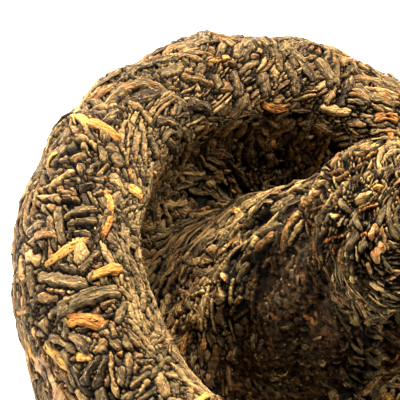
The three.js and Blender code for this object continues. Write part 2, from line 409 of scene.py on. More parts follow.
class Relief:
    """A stretch of the pressed face as a grid, on which strips lie side by side in one skin."""

    def __init__(self, name, low, high, around, rows):
        self.name, self.around, self.ends = name, around, (low, high)
        self.column = np.linspace(0, 2 * np.pi, around, endpoint=False)
        self.share = np.linspace(low, high, rows)
        self.high = np.full((rows, around), -GAP_DEPTH)
        self.along, self.across, self.tone, self.strip = (np.zeros((rows, around)) for _ in range(4))

    def press(self, strips):
        _, _, reach_up, reach_aside = surface_frame(strips.column, strips.share)
        for strip, up, aside in zip(strips.rows(), reach_up, np.maximum(reach_aside, 1)):
            self.press_one(*strip, up, aside)

    def press_one(self, column, share, turn, length, width, thick, level, bend, blunt, tone, up, aside):
        """Lays one strip wherever it stands above what lies there already."""
        reach = length / 2 + width
        rows = np.flatnonzero(np.abs(self.share - share) < reach / up)
        if not len(rows):
            return
        step = 2 * np.pi / self.around
        span = min(int(reach / aside / step) + 1, self.around // 2 - 1)
        columns = round(column / step) + np.arange(-span, span + 1)
        x = (columns * step - column)[None] * aside
        y = (self.share[rows] - share)[:, None] * up
        x, y = x * math.cos(turn) + y * math.sin(turn), y * math.cos(turn) - x * math.sin(turn)
        s = x / (length / 2)
        y = y - bend * length * (s * s - MIDDLE_SAG)
        uneven = 1 + 0.14 * np.sin(1.7 * x + 40 * tone) + 0.06 * np.sin(4.3 * x + 90 * tone)
        t = y / (width / 2 * uneven)
        body = np.sqrt(np.clip(1 - np.abs(s) ** blunt - np.abs(t) ** 2.6, 0, 1))
        ribs = 0.11 * np.cos(4.4 * t + 7 * tone + 0.6 * np.sin(x)) + 0.04 * np.sin(2.3 * x + 60 * tone)
        height = level - thick * (SAG_AT_EDGE * (1 - body) - ribs * body)
        place = np.ix_(rows, columns % self.around)
        wins = (body > 0) & (height > self.high[place])
        laid_down = {
            "high": height,
            "along": x + 31 * tone,
            "across": y,
            "tone": tone,
            "strip": column + share,
        }
        for key, value in laid_down.items():
            grid = getattr(self, key)
            grid[place] = np.where(wins, value, grid[place])

    def piece(self, material):
        """The stretch with its creases and crumbled places as a finished piece."""
        ring, share = np.meshgrid(self.column, self.share)
        at, out, _, _ = surface_frame(ring, share)
        rubbed = dusty(ring, share)
        dust = np.maximum(rubbed, smoothstep(share, SPOT_RUBBED, 0))
        grain = GRAIN_RELIEF * sum(noise(at + shift, size) for shift, size in GRAINS)
        between = (self.strip != np.roll(self.strip, 1, 0)) | (self.strip != np.roll(self.strip, 1, 1))
        high = np.maximum(self.high - SEAM_DEPTH * between, grain - GAP_DEPTH) + 0.25 * grain
        high = high + dust * (DUSTY_RELIEF * high + grain - DUSTY_DEPTH - high)
        # The height, the hollows below neighbours and the seams between strips carry painted shade into the
        # leaf finish
        values = {
            "along": self.along,
            "across": self.across,
            "tone": self.tone,
            "high": high + 0.3 * dust,
            "edge": np.maximum(self.edges(high), between * (1 - 0.7 * dust)),
            "dust": dust,
            "pale": rubbed * smoothstep(share, HOLLOW_AT, LIP_AT),
        }
        free = smoothstep(share, SPOT_RUBBED, SPOT_FADE)
        points = at + out * (free * high - self.tucked())[..., None]
        points[..., 2] = np.maximum(points[..., 2], 0)
        return self.closed(points, values, material)

    def edges(self, high):
        """From 0 on open places to 1 where the neighbourhood stands well above; the leaf finish paints
        shade by it.
        """
        nearby = [np.roll(high, move, axis) for axis in (0, 1) for move in (-EDGE_REACH, EDGE_REACH)]
        return np.clip((sum(nearby) / 4 - high) * 4, 0, 1)

    def tucked(self):
        """How far each row is drawn in: the last two rows go under the next stretch."""
        depth = np.zeros((len(self.share), 1))
        for end, rows in zip(self.ends, (slice(0, 2), slice(-2, None))):
            depth[rows] = TUCK if 0 < end < 1 else 0
        return depth

    def closed(self, points, values, material):
        """The grid as a mesh, closed over the middle of the underside or the top of the stem."""
        rows, around = points.shape[:2]
        i = np.arange(rows - 1)[:, None] * around + np.arange(around)[None]
        j = np.arange(rows - 1)[:, None] * around + (np.arange(around)[None] + 1) % around
        faces = np.stack([i, j, j + around, i + around], axis=-1).reshape(-1, 4).tolist()
        points = points.reshape(-1, 3)
        values = {key: value.ravel() for key, value in values.items()}
        for end, first in ((0, 0), (1, (rows - 1) * around)):
            if self.ends[end] == end:
                line = first + np.arange(around)
                after = first + (np.arange(around) + 1) % around
                fan = (line, after) if end else (after, line)
                faces += np.stack([*fan, 0 * line + len(points)], axis=-1).tolist()
                points = np.concatenate([points, points[line].mean(axis=0, keepdims=True)])
                values = {key: np.append(value, value[line].mean()) for key, value in values.items()}
        return mesh_piece(self.name, points, faces, values, material)


# Cross-section of a rolled and flattened leaf: two rounded ribs with a groove between them, and a keel
LEAF_RING = np.array([
    (-1, -0.2), (-0.82, 0.6), (-0.3, 0.95), (0.1, 0.6), (0.62, 0.9), (1, 0), (0.05, -0.8),
])
# Painted shade at each ring point: full at the strip's sides and keel, none on its top
LEAF_EDGE_SHADE = np.array([1, 0.2, 0, 0.15, 0.15, 1, 1])


@dataclass
class Lay:
    """How one kind of strip lies on the cake: where, how many, how large, which way and how proud.

    The turn is 0 along the rim and a quarter up the section; the stray is how far strips swirl from it."""
    name: str
    span: tuple
    number: int
    length: tuple
    width: tuple
    thickness: tuple
    turn: float
    stray: float
    level: tuple
    seed: int
    bend: float = 0.08
    blunt: tuple = (2.5, 10)
    stations: int = 7
    tone: tuple = (0, 1)
    thinned: float = 0.85


def spread(lay, rng):
    """Evenly spread angles and shares over the kind's stretch of the section, by area."""
    share = np.linspace(*lay.span, 400)
    radius = np.interp(share, SHARE, SECTION[:, 0])
    area = np.concatenate([[0], np.cumsum((radius[1:] + radius[:-1]) / 2)])
    n = np.arange(lay.number)
    jitter = rng.normal(0, 0.35 / math.sqrt(lay.number), (2, lay.number))
    wanted = np.clip((0.5 + 0.7548776662 * n) % 1 + jitter[0], 0, 1) * area[-1]
    column = 2 * np.pi * ((0.5698402910 * n + jitter[1]) % 1)
    share = np.interp(wanted, area, share)
    kept = rng.random(lay.number) > lay.thinned * dusty(column, share)
    return column[kept], share[kept]


def laid(lay):
    """The strips of a kind, neighbours lying much the same way."""
    rng = np.random.default_rng(lay.seed)
    column, share = spread(lay, rng)
    count = len(column)

    def draw(low, high):
        return rng.uniform(low, high, count)

    def mostly_small(low, high):
        return low + (high - low) * rng.random(count) ** 1.3

    swirl = 1.6 * noise(surface(column, share) + lay.seed, BUNDLE_SIZE)
    turn = lay.turn + lay.stray * (swirl + 0.45 * draw(-1, 1))
    length, width, thick = mostly_small(*lay.length), mostly_small(*lay.width), draw(*lay.thickness)
    level, bend = draw(*lay.level), lay.bend * rng.normal(0, 1, count)
    blunt, tone = draw(*lay.blunt), draw(*lay.tone)
    return Strips(column, share, turn, length, width, thick, level, bend, blunt, tone)


def marked(rows, view):
    """Strips from one point of the picture to another, with their width and sag in its pixels."""
    found = []
    for x0, y0, x1, y1, width, sag, tone in rows:
        from_column, from_share, _ = view.seen(x0, y0)
        to_column, to_share, _ = view.seen(x1, y1)
        column, share, scale = view.seen((x0 + x1) / 2, (y0 + y1) / 2)
        _, _, reach_up, reach_aside = surface_frame(np.array([column]), np.array([share]))
        aside = math.remainder(to_column - from_column, 2 * math.pi) * reach_aside[0]
        up = (to_share - from_share) * reach_up[0]
        length = math.hypot(aside, up)
        bend = sag / math.hypot(x1 - x0, y1 - y0)
        turn = math.atan2(up, aside)
        thick, level = min(1.4, 0.4 + 0.12 * width), min(0.62, 0.15 + 0.05 * width)
        wide = MARK_SPREAD * width * scale
        found.append((column, share, turn, length, wide, thick, level, bend, MARK_BLUNT, tone))
    return Strips(*(np.array(values) for values in zip(*found)))


def stations(number):
    """Places along a strip, from -1 to 1 and closest near its ends."""
    return np.sin(np.linspace(-1, 1, number) * np.pi / 2)[None]


def course(strips, s):
    """Angle and share along the middle of each strip, at places from -1 to 1 of its half length."""
    x = s * strips.length[:, None] / 2
    y = (strips.bend * strips.length)[:, None] * (s * s - MIDDLE_SAG)
    _, _, reach_up, reach_aside = surface_frame(strips.column, strips.share)
    cos, sin = np.cos(strips.turn)[:, None], np.sin(strips.turn)[:, None]
    column = strips.column[:, None] + (x * cos - y * sin) / np.maximum(reach_aside, 4)[:, None]
    return column, strips.share[:, None] + (x * sin + y * cos) / reach_up[:, None]


def strip_faces(count, along, ring):
    """Quads round each strip and a fan over each end; every strip has two end points after its rings."""
    size = along * ring + 2
    s, k = np.meshgrid(np.arange(along - 1), np.arange(ring), indexing="ij")
    a = s * ring + k
    b = s * ring + (k + 1) % ring
    quads = np.stack([a, a + ring, b + ring, b], axis=-1).reshape(-1, 4)
    k = np.arange(ring)
    tail = np.stack([k, (k + 1) % ring, 0 * k + along * ring], axis=-1)
    last = (along - 1) * ring
    head = np.stack([last + (k + 1) % ring, last + k, 0 * k + along * ring + 1], axis=-1)
    base = (np.arange(count) * size)[:, None, None]
    faces = []
    for part in (quads, tail, head):
        faces += (part[None] + base).reshape(-1, part.shape[1]).tolist()
    return faces


def leaf_rings(strips, s, rng):
    """For each ring point of each strip, how far aside and out it is, its place across, and the middle."""
    count = len(strips.column)
    width, thick = strips.width[:, None], strips.thick[:, None]
    level, blunt = strips.level[:, None], strips.blunt[:, None]

    def draw(low, high):
        return rng.uniform(low, high, (count, 1))

    def wander(rate, size):
        return size * np.sin(rate * s + draw(0, 2 * np.pi))

    full = np.clip(1 - np.abs(0.95 * s) ** blunt, 0, 1) ** 0.5
    half = width / 2 * np.clip(full * (1 + wander(4.1, 0.16) + wander(9.3, 0.1)), THINNEST_END, 1.35)
    tall = thick / 2 * np.clip(full * (1 + wander(5.3, 0.2)), THINNEST_END, 1.4)
    middle = level - thick / 2 + 0.12 * draw(-1, 1) * s - LEAF_DIP * s * s + wander(6.1, 0.09)
    tilt = LEAF_ROLL * rng.normal(0, 1, (count, 1)) + wander(2.2, LEAF_ROLL)
    across, above = LEAF_RING[:, 0] * half[..., None], LEAF_RING[:, 1] * tall[..., None]
    cos, sin = np.cos(tilt)[..., None], np.sin(tilt)[..., None]
    top = np.maximum(LEAF_TOP, level - 0.1)[..., None]
    height = np.minimum(middle[..., None] + across * sin + above * cos, top)
    return across * cos - above * sin, height, across, middle


def strips_piece(name, strips, number, seed, material):
    """One joined mesh of a set of strips, pressed flat where they would stand above their neighbours."""
    count = len(strips.column)
    s = stations(number)
    width, tone = strips.width[:, None], strips.tone[:, None]
    at, out, _, _ = surface_frame(*course(strips, s))
    ahead = unit(np.gradient(at, axis=1))
    side = unit(np.cross(out, ahead))
    aside, height, across, middle = leaf_rings(strips, s, np.random.default_rng(seed))
    rings = at[:, :, None] + side[:, :, None] * aside[..., None] + out[:, :, None] * height[..., None]
    tips = (at + out * middle[..., None])[:, [0, -1]]
    reach = np.array([[-TIP_REACH], [TIP_REACH]]) * width[:, :, None]
    points = np.concatenate([rings.reshape(count, -1, 3), tips + ahead[:, [0, -1]] * reach], axis=1)
    points[..., 2] = np.maximum(points[..., 2], LOWEST_LEAF)
    lengthways = s * strips.length[:, None] / 2 + 31 * tone

    def with_tips(values, ends):
        values = np.broadcast_to(values, (count, number, len(LEAF_RING)))
        return np.concatenate([values.reshape(count, -1), ends], axis=1).ravel()

    # The height and the side shade go to the leaf finish, which paints shade by them
    attributes = {
        "along": with_tips(lengthways[..., None], lengthways[:, [0, -1]]),
        "across": with_tips(across, np.zeros((count, 2))),
        "tone": with_tips(tone[..., None], np.repeat(tone, 2, axis=1)),
        "high": with_tips(height, height[:, [0, -1]].mean(axis=2)),
        "edge": with_tips(LEAF_EDGE_SHADE, np.ones((count, 2))),
    }
    faces = strip_faces(count, number, len(LEAF_RING))
    return mesh_piece(name, points.reshape(-1, 3), faces, attributes, material)


def away_from(strips, others):
    """The strips whose middles lie clear of the others' courses, so that these stay in sight."""
    here = surface(strips.column, strips.share)
    there = surface(*course(others, stations(9))).reshape(-1, 3)
    near = [np.linalg.norm(there - point, axis=1).min() for point in here]
    return strips.only(np.array(near) > MARK_CLEARANCE)


# ---------------------------------------------------------------- crumbs

def crumb_tree(material):
    """Small crumbs scattered over a mesh, thickest where its dust attribute is high."""
    tree = bpy.data.node_groups.new("crumbs", "GeometryNodeTree")
    tree.is_modifier = True
    for name, kind in (("Carrier", "Geometry"), ("Per square metre", "Float"), ("Smallest", "Float"),
                       ("Largest", "Float"), ("Seed", "Int")):
        tree.interface.new_socket(name, in_out="INPUT", socket_type="NodeSocket" + kind)
    tree.interface.new_socket("Crumbs", in_out="OUTPUT", socket_type="NodeSocketGeometry")
    put, join = tree.nodes.new, tree.links.new
    given = put("NodeGroupInput").outputs
    dust = put("GeometryNodeInputNamedAttribute")
    dust.inputs["Name"].default_value = "dust"
    dense = put("ShaderNodeMath")
    dense.operation = "MULTIPLY"
    join(dust.outputs["Attribute"], dense.inputs[0])
    join(given["Per square metre"], dense.inputs[1])
    scatter = put("GeometryNodeDistributePointsOnFaces")
    join(given["Carrier"], scatter.inputs["Mesh"])
    join(dense.outputs[0], scatter.inputs["Density"])
    join(given["Seed"], scatter.inputs["Seed"])
    crumb = put("GeometryNodeMeshIcoSphere")
    crumb.inputs["Radius"].default_value = 0.5
    place = put("GeometryNodeInstanceOnPoints")
    join(scatter.outputs["Points"], place.inputs["Points"])
    join(crumb.outputs["Mesh"], place.inputs["Instance"])
    turn, size, shape, tone = (put("FunctionNodeRandomValue") for _ in range(4))
    turn.data_type = shape.data_type = "FLOAT_VECTOR"
    turn.inputs["Max"].default_value = (6.28, 6.28, 6.28)
    shape.inputs["Min"].default_value = (0.6, 0.6, 0.5)
    shape.inputs["Max"].default_value = (1.6, 1, 0.9)
    join(given["Smallest"], size.inputs[2])
    join(given["Largest"], size.inputs[3])
    for number, node in enumerate((turn, size, shape, tone)):
        node.inputs["Seed"].default_value = number
    scale = put("ShaderNodeVectorMath")
    scale.operation = "SCALE"
    join(shape.outputs[0], scale.inputs[0])
    join(size.outputs[1], scale.inputs["Scale"])
    join(turn.outputs[0], place.inputs["Rotation"])
    join(scale.outputs[0], place.inputs["Scale"])
    store = put("GeometryNodeStoreNamedAttribute")
    store.domain = "INSTANCE"
    store.inputs["Name"].default_value = "tone"
    join(place.outputs[0], store.inputs["Geometry"])
    join(tone.outputs[1], store.inputs["Value"])
    real, finish = put("GeometryNodeRealizeInstances"), put("GeometryNodeSetMaterial")
    finish.inputs["Material"].default_value = material
    join(store.outputs[0], real.inputs[0])
    join(real.outputs[0], finish.inputs["Geometry"])
    join(finish.outputs[0], put("NodeGroupOutput").inputs[0])
    return tree


def crumbs_piece(name, carrier, tree, seed):
    """The crumbs on a carrier as a plain mesh of their own."""
    values = {
        "Per square metre": CRUMBS_PER_SQUARE_METRE,
        "Smallest": SMALLEST_CRUMB * MM,
        "Largest": LARGEST_CRUMB * MM,
        "Seed": seed,
    }
    host = bpy.data.objects.new("host", carrier.data)
    bpy.context.scene.collection.objects.link(host)
    modifier = host.modifiers.new("crumbs", "NODES")
    modifier.node_group = tree
    for socket in tree.interface.items_tree:
        if socket.name in values:
            modifier[socket.identifier] = values[socket.name]
    mesh = bpy.data.meshes.new_from_object(host.evaluated_get(bpy.context.evaluated_depsgraph_get()))
    bpy.data.objects.remove(host)
    mesh.shade_smooth()
    mesh.name = name
    piece = bpy.data.objects.new(name, mesh)
    bpy.context.scene.collection.objects.link(piece)
    return piece


# ---------------------------------------------------------------- materials

class Value:
    """A shader socket or number that can be used in Python expressions."""

    def __init__(self, nodes, socket):
        self.nodes, self.socket = nodes, socket

    def maths(self, operation, *values, clamp=False):
        return self.nodes.make("ShaderNodeMath", {"operation": operation, "use_clamp": clamp}, *values)

    def __add__(self, other):
        return self.maths("ADD", self, other)

    def __sub__(self, other):
        return self.maths("SUBTRACT", self, other)

    def __rsub__(self, other):
        return self.maths("SUBTRACT", other, self)

    def __mul__(self, other):
        return self.maths("MULTIPLY", self, other)

    __radd__, __rmul__ = __add__, __mul__

    def clamped(self):
        return self.maths("ADD", self, 0, clamp=True)


class Nodes:
    """The nodes of one material, each made by its type, settings and socket values."""

    def __init__(self, name):
        self.material = bpy.data.materials.new(name)
        self.material.use_nodes = True
        self.tree = self.material.node_tree
        self.shader = self.tree.nodes["Principled BSDF"]

    def make(self, kind, settings=None, *values, out=0, **named):
        node = self.tree.nodes.new(kind)
        for key, value in (settings or {}).items():
            setattr(node, key, value)
        for key, value in [*enumerate(values), *named.items()]:
            self.feed(node.inputs[key.replace("_", " ") if isinstance(key, str) else key], value)
        return Value(self, node.outputs[out])

    def feed(self, socket, value):
        if isinstance(value, Value):
            self.tree.links.new(value.socket, socket)
        else:
            socket.default_value = value

    def attribute(self, name):
        return self.make("ShaderNodeAttribute", {"attribute_name": name}, out="Fac")

    def position(self):
        return self.make("ShaderNodeTexCoord", out="Object")

    def vector(self, x, y, z):
        return self.make("ShaderNodeCombineXYZ", None, x, y, z)

    def noise(self, vector, scale, detail=3, roughness=0.55):
        inputs = {"Vector": vector, "Scale": scale, "Detail": detail, "Roughness": roughness}
        return self.make("ShaderNodeTexNoise", {"noise_dimensions": "3D"}, **inputs)

    def crack(self, vector, scale):
        """Distance to the nearest line of a net of cracks."""
        settings = {"voronoi_dimensions": "3D", "feature": "DISTANCE_TO_EDGE"}
        return self.make("ShaderNodeTexVoronoi", settings, Vector=vector, Scale=scale)

    def ramp(self, value, *stops):
        node = self.tree.nodes.new("ShaderNodeValToRGB")
        elements = node.color_ramp.elements
        while len(elements) < len(stops):
            elements.new(1)
        for element, (place, colour) in zip(elements, stops):
            element.position, element.color = place, (*colour, 1)
        self.feed(node.inputs[0], value)
        return Value(self, node.outputs[0])

    def mix(self, amount, first, second):
        node = self.tree.nodes.new("ShaderNodeMix")
        node.data_type = "RGBA"
        self.feed(node.inputs[0], amount)
        for socket, value in ((node.inputs[6], first), (node.inputs[7], second)):
            self.feed(socket, (*value, 1) if isinstance(value, tuple) else value)
        return Value(self, node.outputs[2])

    def finish(self, colour, roughness, height, depth, **constants):
        self.feed(self.shader.inputs["Base Color"], colour)
        self.feed(self.shader.inputs["Roughness"], roughness)
        bump = self.make("ShaderNodeBump", None, Height=height, Distance=depth * MM, out="Normal")
        self.feed(self.shader.inputs["Normal"], bump)
        for key, value in constants.items():
            self.shader.inputs[key.replace("_", " ")].default_value = value
        return self.material


def leaf_material(name, stops, wear_and_highlight, fleck):
    """Dried rolled leaf: tone by leaf, wrinkles along it, painted shade in its gaps, creases and low
    places, tan wear and painted highlight on its ridges, and crumbled where it is dusty.
    """
    n = Nodes(name)
    along, across = n.attribute("along"), n.attribute("across")
    tone, high, edge = n.attribute("tone"), n.attribute("high"), n.attribute("edge")
    at = n.position()
    fold = n.noise(n.vector(along * 0.35, across * 1.5, tone * 40), 1.0, detail=3)
    wrinkle = n.noise(n.vector(along * 0.8, across * 3.4, tone * 70), 1.0, detail=3)
    blotch = n.noise(n.vector(along * 0.4, across * 0.5, tone * 90), 0.9, detail=2)
    speck = n.noise(at, 1700, detail=4, roughness=0.75)
    crack = n.crack(n.vector(along * 0.7, across * 1.1, tone * 40), 1.0)
    colour = n.ramp((tone + (blotch - 0.5) * 0.9).clamped(), *stops)
    gold = n.ramp((tone - 1.75 + (wrinkle - 0.5) * 1.6 + (blotch - 0.5) * 0.8).clamped(), *GOLD)
    # Tan on the raised folds and wrinkles: part wear, part painted highlight
    colour = n.mix((fold * 7 + wrinkle * 5 - 6.1).clamped() * 0.7, colour, wear_and_highlight)
    colour = n.mix((speck * 8 - 4.6).clamped() * 0.8, colour, fleck)
    colour = n.mix(((tone - 1.2) * 8).clamped(), colour, gold)
    colour = n.mix(n.attribute("dust"), colour, dusty_colour(n, at, speck))
    # Painted shade in the valleys of the folds and wrinkles and along the cracks, where the bump sinks;
    # weaker where dusty
    wrinkle_shade = (3.1 - fold * 4 - wrinkle * 2.8).clamped()
    wrinkle_shade = 1 - (1 - wrinkle_shade) * (1 - (1 - crack * 11).clamped() * 0.35)
    # Painted shade: darker the lower the surface stands, at the sides of strips and in hollows below their
    # neighbours
    low, crevice_shade = (0.2 - high * 0.8).clamped(), (edge * 1.5 - 0.3 + (0.5 - speck) * 0.8).clamped()
    dark = 1 - (1 - low) * (1 - crevice_shade * 0.95)
    colour = n.mix(wrinkle_shade * (0.9 - n.attribute("dust") * 0.6), colour, WRINKLE_SHADE)
    colour = n.mix(dark, colour, CREVICE_SHADE)
    relief = fold * 1.4 + wrinkle * 0.8 + speck * 0.4 + (crack * 5).clamped() * 0.3
    rough = 0.75 - wrinkle * 0.3 + n.attribute("dust") * 0.25
    return n.finish(colour, rough, relief, 0.7, Specular_IOR_Level=0.12)


def dusty_colour(n, at, speck):
    """Crumbled leaf: dark with orange and olive patches on the stem and below, tan inside the rim."""
    flake = n.noise(at, 900, detail=5, roughness=0.7)
    patch = n.noise(at, 120, detail=3)
    plate = n.crack(at, 850)
    dark = n.ramp(flake, *DARK_CRUMBLE)
    olive = n.ramp(flake, *OLIVE_CRUMBLE)
    tan = n.mix((1 - plate * 9).clamped() * 0.4, n.ramp(flake, *TAN_CRUMBLE), TAN_CRACK)
    colour = n.mix(n.attribute("pale"), n.mix((patch * 5 - 2.2).clamped() * 0.8, dark, olive), tan)
    return n.mix((speck * 8 - 4.8).clamped() * 0.5, colour, ORANGE_SPECK)


def crumb_material():
    n = Nodes("tea_crumbs")
    grain = n.noise(n.position(), 1800, detail=2)
    colour = n.ramp((n.attribute("tone") + (grain - 0.5) * 0.6).clamped(), *CRUMB)
    return n.finish(colour, 0.85, grain, 0.15, Specular_IOR_Level=0.2)


# ---------------------------------------------------------------- stage

def camera():
    """The photograph's own view, which looks down into the hollow with the cake turned in the picture."""
    place, across, upright, look = camera_axes()
    data = bpy.data.cameras.new("camera")
    data.lens, data.sensor_width, data.clip_start = CAMERA_LENS, SENSOR, 0.01
    thing = bpy.data.objects.new("camera", data)
    turn = Matrix((across, upright, -look)).transposed().to_4x4()
    thing.matrix_world = Matrix.Translation(Vector(place * MM)) @ turn
    bpy.context.scene.collection.objects.link(thing)
    bpy.context.scene.camera = thing


def area_light(name, azimuth, rise, size, power, colour):
    """A soft round light, with its azimuth and rise in degrees and its size in metres."""
    azimuth, rise = math.radians(azimuth), math.radians(rise)
    way = Vector((math.cos(azimuth) * math.cos(rise), math.sin(azimuth) * math.cos(rise), math.sin(rise)))
    data = bpy.data.lights.new(name, "AREA")
    data.shape, data.size, data.energy, data.color = "DISK", size, power, colour
    thing = bpy.data.objects.new(name, data)
    thing.location = way * LIGHT_DISTANCE + Vector((0, 0, CAMERA_AIM_Z * MM))
    thing.rotation_euler = way.to_track_quat("Z", "Y").to_euler()
    bpy.context.scene.collection.objects.link(thing)


def studio():
    """A warm light from behind the rim, with weaker ones above and at both sides, in a dim white room."""
    area_light("key", 150, 40, 0.35, 36, (1, 0.94, 0.84))
    area_light("overhead", 150, 82, 0.5, 10, (1, 0.97, 0.92))
    area_light("right", 60, 35, 0.5, 4, (1, 0.97, 0.92))
    area_light("left", 222, 8, 0.5, 11, (1, 0.96, 0.9))
    world = bpy.data.worlds.new("studio")
    world.use_nodes = True
    backdrop = world.node_tree.nodes["Background"]
    backdrop.inputs["Color"].default_value = (1, 1, 1, 1)
    backdrop.inputs["Strength"].default_value = 0.05
    bpy.context.scene.world = world
    bpy.context.scene.view_settings.view_transform = "Standard"


def floor():
    """A plain floor that shines a little, so that it shows white as the photograph's does."""
    n = Nodes("pale_floor")
    n.shader.inputs["Base Color"].default_value = (0.9, 0.9, 0.9, 1)
    n.shader.inputs["Roughness"].default_value = 0.9
    n.shader.inputs["Emission Color"].default_value = (1, 1, 1, 1)
    n.shader.inputs["Emission Strength"].default_value = 1.6
    bpy.ops.mesh.primitive_plane_add(size=6)
    plane = bpy.context.object
    plane.name = "floor"
    plane.data.materials.append(n.material)


# ---------------------------------------------------------------- the cake

